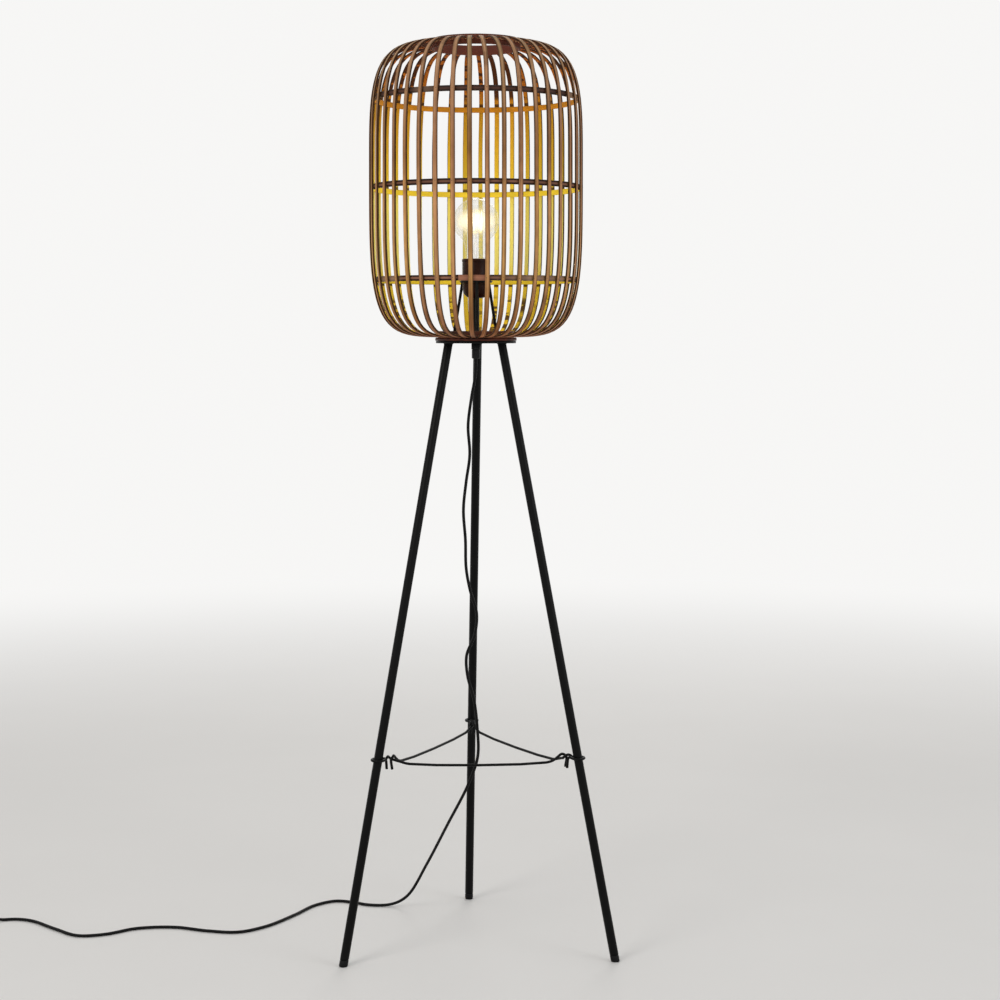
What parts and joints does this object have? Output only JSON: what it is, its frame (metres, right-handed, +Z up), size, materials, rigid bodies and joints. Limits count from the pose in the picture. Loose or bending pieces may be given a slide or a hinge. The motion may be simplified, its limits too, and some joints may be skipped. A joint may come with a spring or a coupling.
{
  "type": "floor lamp",
  "caption": "Tripod floor lamp with a tall barrel shade of split rattan strips on inner hoops, a wire leg brace, a bare bulb on a stem and a black cord with foot switch and plug.",
  "frame": {"origin": "on the floor, under the middle of the box that the lamp fills without its cord; the lamp axis is 37.17 mm before it, towards -Y", "axes": "+Z up along the lamp axis, +Y towards the rear leg, +X to the right seen from the front"},
  "size_m": [1.1865, 0.3994, 1.37],
  "materials": {
    "split_rattan": "split rattan, dry grain along the strip, taupe brown outside and honey inside with scorched marks",
    "hoop_rattan": "flat rattan band, dark brown",
    "stained_wood": "turned wood, dark stain, satin",
    "black_steel": "black powder coat, semi-matte",
    "bakelite": "dark brown moulded phenolic",
    "clear_glass": "clear blown glass",
    "black_plastic": "moulded, fine grain",
    "black_flex": "round flexible cord sheath"
  },
  "bodies": {
    "lamp": {"rib_01": "split_rattan", "rib_02": "split_rattan", "rib_03": "split_rattan", "rib_04": "split_rattan", "rib_05": "split_rattan", "rib_06": "split_rattan", "rib_07": "split_rattan", "rib_08": "split_rattan", "rib_09": "split_rattan", "rib_10": "split_rattan", "rib_11": "split_rattan", "rib_12": "split_rattan", "rib_13": "split_rattan", "rib_14": "split_rattan", "rib_15": "split_rattan", "rib_16": "split_rattan", "rib_17": "split_rattan", "rib_18": "split_rattan", "rib_19": "split_rattan", "rib_20": "split_rattan", "rib_21": "split_rattan", "rib_22": "split_rattan", "rib_23": "split_rattan", "rib_24": "split_rattan", "rib_25": "split_rattan", "rib_26": "split_rattan", "rib_27": "split_rattan", "rib_28": "split_rattan", "rib_29": "split_rattan", "rib_30": "split_rattan", "rib_31": "split_rattan", "rib_32": "split_rattan", "rib_33": "split_rattan", "rib_34": "split_rattan", "rib_35": "split_rattan", "rib_36": "split_rattan", "rib_37": "split_rattan", "rib_38": "split_rattan", "rib_39": "split_rattan", "rib_40": "split_rattan", "upper_hoop": "hoop_rattan", "middle_hoop": "hoop_rattan", "lower_hoop": "hoop_rattan", "top_ring": "hoop_rattan", "shade_base": "stained_wood", "mounting_plate": "black_steel", "rear_leg": "black_steel", "left_leg": "black_steel", "right_leg": "black_steel", "leg_brace": "black_steel", "stem_tube": "black_steel", "holder_stay": "black_steel", "cord_gland": "black_plastic", "lampholder": "bakelite", "cord": "black_flex", "cord_coil": "black_flex", "foot_switch": "black_plastic", "plug": "black_plastic"},
    "bulb": {"bulb": "clear_glass"},
    "switch_button": {"switch_button": "black_plastic"}
  },
  "joints": [
    {"name": "bulb_unscrew", "type": "hinge", "parent": "lamp", "child": "bulb", "pos_m": [0, -0.03717, 1.03], "axis": [0, 0, 1], "range_deg": [0, 1260]},
    {"name": "switch_press", "type": "slide", "parent": "lamp", "child": "switch_button", "axis": [0, 0, -1], "range_m": [0, 0.003], "stiffness_N_per_m": 300}
  ]
}
